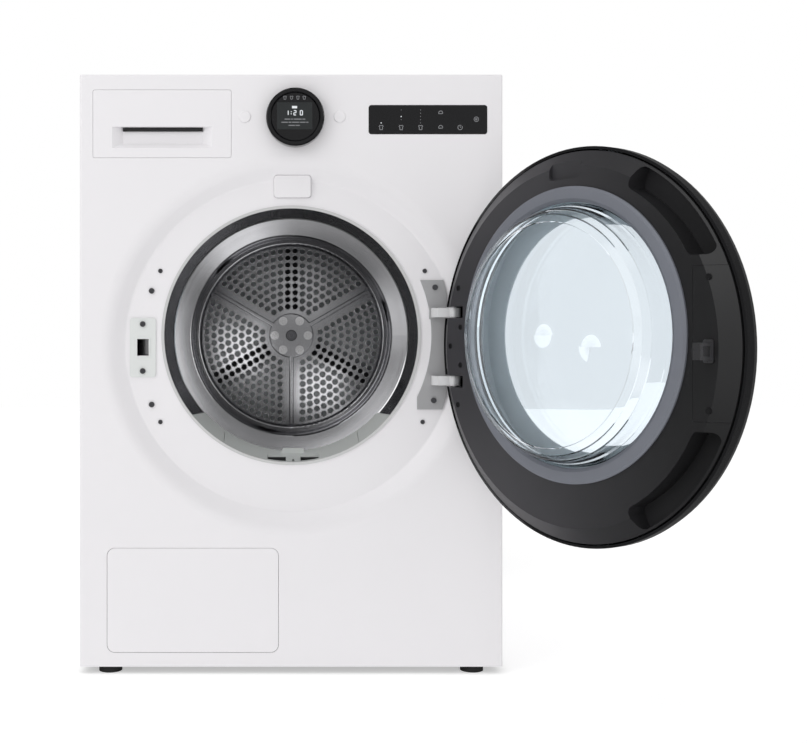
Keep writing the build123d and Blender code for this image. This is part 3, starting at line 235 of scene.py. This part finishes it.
RUBBER = surface("black_rubber", (0.014, 0.014, 0.014), 0.75, 0.12, 1200, 0.4)
GASKET = surface("gasket_rubber", (0.175, 0.185, 0.215), 0.55, 0.06, 1400, 0.3)
FELT = surface("grey_felt", (0.32, 0.32, 0.33), 0.95, 0.15, 2600, 0.9, 0.0002)
ZINC = surface("zinc_sheet", (0.60, 0.62, 0.64), 0.36, 0.10, 240, 0.1, Metallic=1.0)
BRACKET = surface("bracket_steel", (0.47, 0.47, 0.48), 0.45, 0.06, 900, 0.2, Metallic=0.35)
SILVER = surface("cast_silver", (0.72, 0.73, 0.75), 0.30, 0.06, 900, 0.2, Metallic=1.0)
DARK_STEEL = surface("dark_steel", (0.16, 0.16, 0.17), 0.33, 0.08, 900, 0.2, Metallic=1.0)
HOOK_STEEL = surface("hook_steel", (0.22, 0.22, 0.23), 0.30, 0.08, 900, 0.2, Metallic=1.0)
# Near-black, slightly metallic, for the door screws.
SCREW_BLACK = surface("black_screws", (0.012, 0.012, 0.013), 0.45, 0.08, 900, 0.2, Metallic=0.4)
IRON = surface("painted_iron", (0.030, 0.031, 0.033), 0.55, 0.15, 700, 0.4)
COPPER = surface("copper", (0.80, 0.40, 0.26), 0.28, 0.10, 500, 0.1, Metallic=1.0)
FINS = surface("fin_aluminium", (0.72, 0.73, 0.75), 0.35, 0.05, 900, 0.2, Metallic=1.0)
BOARD = surface("green_board", (0.02, 0.13, 0.05), 0.35, 0.15, 500, 0.1)
DRUM_STEEL = turned_metal("drum_steel", (0.44, 0.44, 0.455), 0.20, DRUM)
# Brighter than the drum steel: on the hole rims, pressed from the drum back itself, this is a painted
# highlight; the shaft bolts use it too.
RIM_HIGHLIGHT_AND_BOLT_STEEL = turned_metal("rim_highlight_and_bolt_steel", (0.74, 0.74, 0.75), 0.2, DRUM)
TUNNEL_STEEL = turned_metal("tunnel_steel", (0.50, 0.50, 0.51), 0.14, DRUM)
BOWL_GLASS = glass("bowl_glass", (0.88, 0.93, 0.96), Specular_IOR_Level=0.3)
WINDOW_GLASS = glass("window_glass", (0.86, 0.89, 0.92), Specular_IOR_Level=0.2)
# Painted shade: the door's inner cover and the latch cover turn darker towards the door's free side.
for cover in (CHARCOAL, LATCH):
    fading(cover, GLASS_MIDDLE, DOOR_ACROSS, -0.12, 0.22, (0.012, 0.012, 0.013))
# The cover's inner lip is pale round the glass, and the hinge bracket is painted where it shows.
GLASS_EDGE, LIP_DEPTH, PANEL_DEPTH = 0.1825, 0.0035, 0.006
within(CHARCOAL, GLASS_MIDDLE, GLASS_EDGE, LIP_DEPTH, (0.70, 0.76, 0.80))
in_front(BRACKET, FRONT + PANEL_DEPTH, (0.86, 0.86, 0.87))

LOOKS = {
    ENAMEL: "front_panel top_plate side_panel_left side_panel_right",
    PLASTIC: "drawer_front condenser_flap lamp_cover power_button start_button",
    PALE: "porthole_bezel water_tank exchanger_cover",
    FILTER: "filter_housing lint_filter",
    MIST: "strike_plate",
    CHARCOAL: "door_inner_cover",
    LATCH: "latch_cover",
    BLACK: "base_pan drawer_bay exchanger_duct blower_wheel blower_housing belt_idler condensate_pump"
    " cord_gland drain_spigot",
    PIANO: "touch_panel dial_ring dial_display door_rim",
    RUBBER: "feet drum_belt drum_roller_left drum_roller_right",
    GASKET: "door_gasket",
    FELT: "felt_seals",
    ZINC: "rear_panel rear_duct_cover tensioner_arm",
    BRACKET: "hinge_bracket",
    SILVER: "hinge_pins",
    HOOK_STEEL: "door_hook",
    SCREW_BLACK: "door_screws",
    DARK_STEEL: "drum_shaft roller_axles motor_rotor cabinet_screws",
    RIM_HIGHLIGHT_AND_BOLT_STEEL: "shaft_bolts",
    IRON: "bearing_housing motor_housing compressor",
    COPPER: "refrigerant_pipes",
    FINS: "exchanger_coils",
    BOARD: "control_board",
    DRUM_STEEL: "drum_shell drum_back drum_lifters",
    TUNNEL_STEEL: "front_bulkhead",
    BOWL_GLASS: "door_bowl",
    WINDOW_GLASS: "door_window",
}
for look, names in LOOKS.items():
    for name in names.split():
        mesh = NODES[name].data
        mesh.materials.clear()
        mesh.materials.append(look)


# ---- printed marks, small parts that the solids leave out, and black sheets for painted shadows ----
MM = 0.001


def box_between(bm, start, end, width, front, thick):
    """A straight bar between two x, z points (mm), lying on a plane that faces the front."""
    run = Vector((end[0] - start[0], end[1] - start[1]))
    side = Vector((-run.y, run.x)).normalized() * width / 2
    corners = [Vector(start) + side, Vector(start) - side, Vector(end) - side, Vector(end) + side]
    near = [bm.verts.new((c.x * MM, front, c.y * MM)) for c in corners]
    far = [bm.verts.new((c.x * MM, front + thick, c.y * MM)) for c in corners]
    bm.faces.new(near)
    bm.faces.new(far[::-1])
    for k in range(4):
        bm.faces.new((near[k - 1], near[k], far[k], far[k - 1])[::-1])


def on_circle(centre, radius, angle):
    return centre[0] + radius * cos(radians(angle)), centre[1] + radius * sin(radians(angle))


def arc(centre, radius, first, last, steps):
    return [on_circle(centre, radius, first + (last - first) * k / steps) for k in range(steps + 1)]


def dash(x, z, length, width):
    return [(x, z), (x + length, z)], width


def placed(name, mesh, look):
    mesh.materials.append(look)
    piece = bpy.data.objects.new(name, mesh)
    bpy.context.scene.collection.objects.link(piece)
    return piece


def built(name, bm, look):
    bmesh.ops.recalc_face_normals(bm, faces=bm.faces)
    mesh = bpy.data.meshes.new(name)
    bm.to_mesh(mesh)
    bm.free()
    return placed(name, mesh, look)


def drawn(name, front, strokes, look, body, thick=0.0001):
    """Strokes, each a list of x, z points and a width in mm, as one thin raised piece."""
    bm = bmesh.new()
    for points, width in strokes:
        for start, end in zip(points, points[1:]):
            box_between(bm, start, end, width, front, thick)
    piece = built(name, bm, look)
    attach(piece, body)


def moved(strokes, x, z, scale=1.0):
    return [
        ([(x + u * scale, z + v * scale) for u, v in points], width * scale)
        for points, width in strokes
    ]


SEGMENTS = {
    "top": [(0, 2), (1, 2)],
    "high_left": [(0, 1), (0, 2)],
    "high_right": [(1, 1), (1, 2)],
    "middle": [(0, 1), (1, 1)],
    "low_left": [(0, 0), (0, 1)],
    "low_right": [(1, 0), (1, 1)],
    "bottom": [(0, 0), (1, 0)],
}
DIGITS = {
    "0": "top high_left high_right low_left low_right bottom",
    "1": "high_right low_right",
    "2": "top high_right middle low_left bottom",
}


def digit(figure, x, z, size, width):
    lines = [SEGMENTS[segment] for segment in DIGITS[figure].split()]
    return [([(x + u * size, z + v * size) for u, v in line], width) for line in lines]


def shirt():
    """A garment seen flat, about two units wide."""
    sleeve_and_neck = [(-1, 0.5), (-0.5, 1), (-0.2, 0.8), (0.2, 0.8), (0.5, 1), (1, 0.5)]
    body = [(0.6, 0.2), (0.6, -1), (-0.6, -1), (-0.6, 0.2), (-1, 0.5)]
    return [(sleeve_and_neck + body, 0.3)]


def words(x, z, lengths, height):
    """A row of short bars, like a line of small print."""
    bars, at = [], x - (sum(lengths) + len(lengths) - 1) / 2
    for length in lengths:
        bars.append(dash(at, z, length, height))
        at += length + 1
    return bars


GLOW = (0.8, 0.85, 0.9, 1)
LIT = surface("lit_mark", (0.55, 0.56, 0.57), 0.5, 0.05, 900, Emission_Color=GLOW, Emission_Strength=0.35)
DIM = surface("dim_mark", (0.20, 0.20, 0.21), 0.5, 0.05, 900, Emission_Color=GLOW, Emission_Strength=0.06)
SCREEN = surface("screen", (0.022, 0.025, 0.026), 0.35, 0.1, 900)

# The dial's display: places from its middle, in mm.
SCREEN_LEFT, SCREEN_LENGTH, SCREEN_RISE, SCREEN_HEIGHT = -25.6, 49.6, 1, 38
FIGURES = (("1", -13), ("2", -2), ("0", 7))
FIGURE_FOOT, FIGURE_SIZE, STROKE = 2.2, 3.1, 1.2
COLON_LEFT, COLON_RISES = -6.2, (1.6, 4.6)
BADGE_LEFT, BADGE_RISE, BADGE_LENGTH, BADGE_HEIGHT = -4.6, 13.2, 7.2, 3.4
PRINT_ROWS = ((-0.5, -3.6, (8, 3, 11, 4)), (-0.5, -8, (9, 4, 10, 8, 3)), (-1.5, -12.4, (9, 6)))
PRINT_HEIGHT = 1.3
SHIRT_OFFSETS, SHIRT_RISE, SHIRT_SIZE = (-14.5, -5.2, 3.7, 12.7), 26.6, 2.3

low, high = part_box("dial_display")
dial_x, dial_z = (low.x + high.x) / 2 / MM, (low.z + high.z) / 2 / MM
dial_face = low.y
glass_sheet = dash(dial_x + SCREEN_LEFT, dial_z + SCREEN_RISE, SCREEN_LENGTH, SCREEN_HEIGHT)
drawn("screen", dial_face - 0.00004, [glass_sheet], SCREEN, "cabinet", 0.0004)
time_shown = []
for figure, offset in FIGURES:
    time_shown += digit(figure, dial_x + offset, dial_z + FIGURE_FOOT, FIGURE_SIZE, STROKE)
for rise in COLON_RISES:
    time_shown.append(dash(dial_x + COLON_LEFT, dial_z + FIGURE_FOOT + rise, STROKE, STROKE))
time_shown.append(dash(dial_x + BADGE_LEFT, dial_z + BADGE_RISE, BADGE_LENGTH, BADGE_HEIGHT))
drawn("screen_time", dial_face - 0.00012, time_shown, LIT, "cabinet")
print_lines = []
for offset, rise, lengths in PRINT_ROWS:
    print_lines += words(dial_x + offset, dial_z + rise, lengths, PRINT_HEIGHT)
for offset in SHIRT_OFFSETS:
    print_lines += moved(shirt(), dial_x + offset, dial_z + SHIRT_RISE, SHIRT_SIZE)
drawn("screen_lines", dial_face - 0.00011, print_lines, DIM, "cabinet")

# The touch panel: places from its lower left corner, in mm.
SYMBOL_ROW, HIGH_ROW, DOT_ROW, DOT_PITCH = 9.4, 30, 15.8, 4.6
SHIRT_COLUMNS, HOOK_COLUMN = (17.6, 46, 73.5), 102
CLOCK_COLUMN, CLOCK_RADIUS = 129.6, 3.2
FAN_COLUMN, FAN_ROW, FAN_RADIUS, BLADE = 152.6, 21, 3.3, 2.2

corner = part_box("touch_panel")[0]
touch_face, touch_x, touch_z = corner.y - 0.00006, corner.x / MM, corner.z / MM
symbols = []
for column in SHIRT_COLUMNS:
    symbols += moved(shirt(), touch_x + column, touch_z + SYMBOL_ROW, 3.2)
hook = [(arc((0, 0), 1, 200, -20, 8) + [(-1, -0.4)], 0.34)]
for row in (SYMBOL_ROW, HIGH_ROW):
    symbols += moved(hook, touch_x + HOOK_COLUMN, touch_z + row, 2.9)
clock = (touch_x + CLOCK_COLUMN, touch_z + SYMBOL_ROW)
symbols.append((arc(clock, CLOCK_RADIUS, 60, 395, 20), 0.9))
symbols.append(([(clock[0], clock[1] + 1.8), clock, (clock[0] + 1.5, clock[1])], 0.8))
fan = (touch_x + FAN_COLUMN, touch_z + FAN_ROW)
symbols.append((arc(fan, FAN_RADIUS, 0, 360, 20), 0.8))
for turn in (20, 80, 140):
    symbols.append(([on_circle(fan, BLADE, turn), on_circle(fan, BLADE, turn + 180)], 0.7))
for row in range(5):
    symbols.append(dash(touch_x + 73, touch_z + DOT_ROW + DOT_PITCH * row, 1, 1))
for row in (1, 4):
    symbols.append(dash(touch_x + 45.6, touch_z + DOT_ROW + DOT_PITCH * row, 0.8, 0.8))
drawn("touch_symbols", touch_face, symbols, DIM, "cabinet")
bright = [dash(touch_x + column, touch_z + row, 1.4, 1.4) for column, row in ((17, DOT_ROW), (45.3, 24.8))]
drawn("touch_lights", touch_face, bright, LIT, "cabinet")

# Shadows at the back of the drawer's slot and of the filter's finger slots.
DRAWER_SLOT_DEPTH, FINGER_SLOT_DEPTH = 0.0062, 0.0178
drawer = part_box("drawer_front")[0]
drawer_slot = dash(drawer.x / MM + 41.6, drawer.z / MM + 41.2, 112.8, 5.2)
drawn("slot_shadow", FRONT + DRAWER_SLOT_DEPTH, [drawer_slot], BLACK, "drawer", 0.004)
filter_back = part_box("lint_filter")[0].y + FINGER_SLOT_DEPTH
finger_slots = [dash(-33.7, 298, 25.7, 11), dash(14, 298, 25.6, 11)]
drawn("finger_slot_shadow", filter_back, finger_slots, BLACK, "filter", 0.0006)

# Pressed rims round the drum back's holes, in the same rows as the holes themselves; their steel, brighter
# than the drum back's, is a painted highlight.
ROWS, ROW_FIRST, ROW_STEP, HOLE_PITCH, SPOKE_CLEAR = 9, 53.8, 12.86, 13.3, 21
RIM_PROFILE = ((4.7, 0.0), (5.0, 0.75), (5.5, 0.75), (6.1, 0.0))  # radius and rise, in mm
DRUM_BACK_FACE = FRONT + 0.5244


def hole_centres():
    for middle in (90, 210, 330):
        for row in range(ROWS):
            radius = ROW_FIRST + row * ROW_STEP
            half = radians(60) - asin(SPOKE_CLEAR / radius)
            count = int(2 * half * radius / HOLE_PITCH) + 1
            for k in range(count):
                a = radians(middle) + half * (2 * k / (count - 1) - 1)
                yield radius * cos(a), radius * sin(a)


def hole_rims(level, steps=14):
    bm = bmesh.new()
    for x, z in hole_centres():
        loops = []
        for radius, rise in RIM_PROFILE:
            turns = [2 * pi * k / steps for k in range(steps)]
            ring = [(x + radius * cos(t), z + radius * sin(t)) for t in turns]
            loops.append([bm.verts.new((u * MM, level - rise * MM, DRUM.z + v * MM)) for u, v in ring])
        for inner, outer in zip(loops, loops[1:]):
            for k in range(steps):
                bm.faces.new((inner[k - 1], inner[k], outer[k], outer[k - 1]))
    piece = built("hole_rims", bm, RIM_HIGHLIGHT_AND_BOLT_STEEL)
    piece.data.polygons.foreach_set("use_smooth", [True] * len(piece.data.polygons))
    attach(piece, "drum")


hole_rims(DRUM_BACK_FACE)


# ---- floor, light and camera ----
FLOOR_HALF = 6
FLOOR = surface("floor", (0.80, 0.80, 0.80), 0.9, 0.004, 60, 0.02, Emission_Color=(1, 1, 1, 1),
                Emission_Strength=0.46, Specular_IOR_Level=0.0)
corners = [(x * FLOOR_HALF, y * FLOOR_HALF, 0) for x, y in ((-1, -1), (1, -1), (1, 1), (-1, 1))]
sheet = bpy.data.meshes.new("floor")
sheet.from_pydata(corners, [], [(0, 1, 2, 3)])
floor = placed("floor", sheet, FLOOR)
floor.visible_glossy = False


def area_light(name, place, target, size, power, shiny=False):
    data = bpy.data.lights.new(name, "AREA")
    data.shape = "RECTANGLE"
    data.size, data.size_y = size
    data.energy = power
    light = bpy.data.objects.new(name, data)
    light.location = place
    light.rotation_euler = (Vector(target) - Vector(place)).to_track_quat("-Z", "Y").to_euler()
    light.visible_glossy = light.visible_transmission = shiny
    bpy.context.scene.collection.objects.link(light)
    return light


area_light("key", (-2.4, -2.6, 2.0), (0, -0.3, 0.5), (1.5, 1.5), 16)
area_light("top", (-0.3, -0.9, 2.6), (0, -0.2, 0.5), (1.6, 0.9), 7)
DRUM_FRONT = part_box("drum_shell")[0].y
DRUM_LAMPS = (
    ("drum_low", 0.06, 0.37, 0.05),
    ("drum_left", -0.11, 0.45, 0.05),
    ("drum_high", 0.02, 0.57, 0.01),
)
for name, x, z, power in DRUM_LAMPS:
    lamp = area_light(name, (x, DRUM_FRONT + 0.16, z), (x, 1, z), (0.09, 0.09), power, shiny=True)
    lamp.visible_camera = False

world = bpy.data.worlds.new("studio")
bpy.context.scene.world = world
world.use_nodes = True
sky = world.node_tree
background = sky.nodes["Background"]
path = add(sky, "ShaderNodeLightPath")
where = add(sky, "ShaderNodeTexCoord")


def soft_box(direction, inner, outer, power):
    """One bright patch of sky in a direction, for mirror-like surfaces to reflect."""
    toward = add(sky, "ShaderNodeVectorMath", operation="DOT_PRODUCT")
    toward.inputs[1].default_value = Vector(direction).normalized()
    sky.links.new(where.outputs["Generated"], toward.inputs[0])
    patch = add(sky, "ShaderNodeMapRange", interpolation_type="SMOOTHSTEP")
    patch.inputs["From Min"].default_value = cos(radians(outer))
    patch.inputs["From Max"].default_value = cos(radians(inner))
    patch.inputs["To Max"].default_value = power
    sky.links.new(toward.outputs["Value"], patch.inputs["Value"])
    return patch.outputs["Result"]


reflected = add(sky, "ShaderNodeValue").outputs[0]
reflected.default_value = 0.16
# Direction, inner and outer angle in degrees, and power of each bright patch.
for box in (
    ((-0.75, -0.75, 0.55), 16, 26, 1.9),
    ((0.9, -0.45, 0.15), 8, 20, 1.3),
    ((-0.1, -0.35, 1.0), 12, 30, 1.2),
    ((0.0, -1.0, 0.1), 8, 40, 0.18),
    ((0.28, -0.8, -0.52), 5, 17, 1.9),
    ((-0.62, -0.8, -0.12), 5, 17, 1.5),
):
    reflected = maths(sky, "ADD", reflected, soft_box(*box))
strength = add(sky, "ShaderNodeMix", data_type="FLOAT")
strength.inputs[FLOAT_A].default_value = 0.70
sky.links.new(path.outputs["Is Glossy Ray"], strength.inputs[0])
sky.links.new(reflected, strength.inputs[FLOAT_B])
seen = add(sky, "ShaderNodeMath", operation="MAXIMUM", use_clamp=True)
sky.links.new(path.outputs["Is Camera Ray"], seen.inputs[0])
sky.links.new(path.outputs["Transmission Depth"], seen.inputs[1])
final = add(sky, "ShaderNodeMix", data_type="FLOAT")
final.inputs[FLOAT_B].default_value = 1.0
sky.links.new(seen.outputs[0], final.inputs[0])
sky.links.new(strength.outputs[0], final.inputs[FLOAT_A])
background.inputs["Color"].default_value = (1, 1, 1, 1)
sky.links.new(final.outputs[0], background.inputs["Strength"])

lens = bpy.data.cameras.new("camera")
lens.lens, lens.sensor_width = 53.6, 36
lens.shift_x, lens.shift_y = 0.138, -0.044
lens.clip_end = 50
camera = bpy.data.objects.new("camera", lens)
camera.location = (0.0014, FRONT - 1.704, 0.479)
camera.rotation_euler = (pi / 2, 0, 0)
bpy.context.scene.collection.objects.link(camera)
bpy.context.scene.camera = camera
bpy.context.scene.view_settings.view_transform = "Standard"
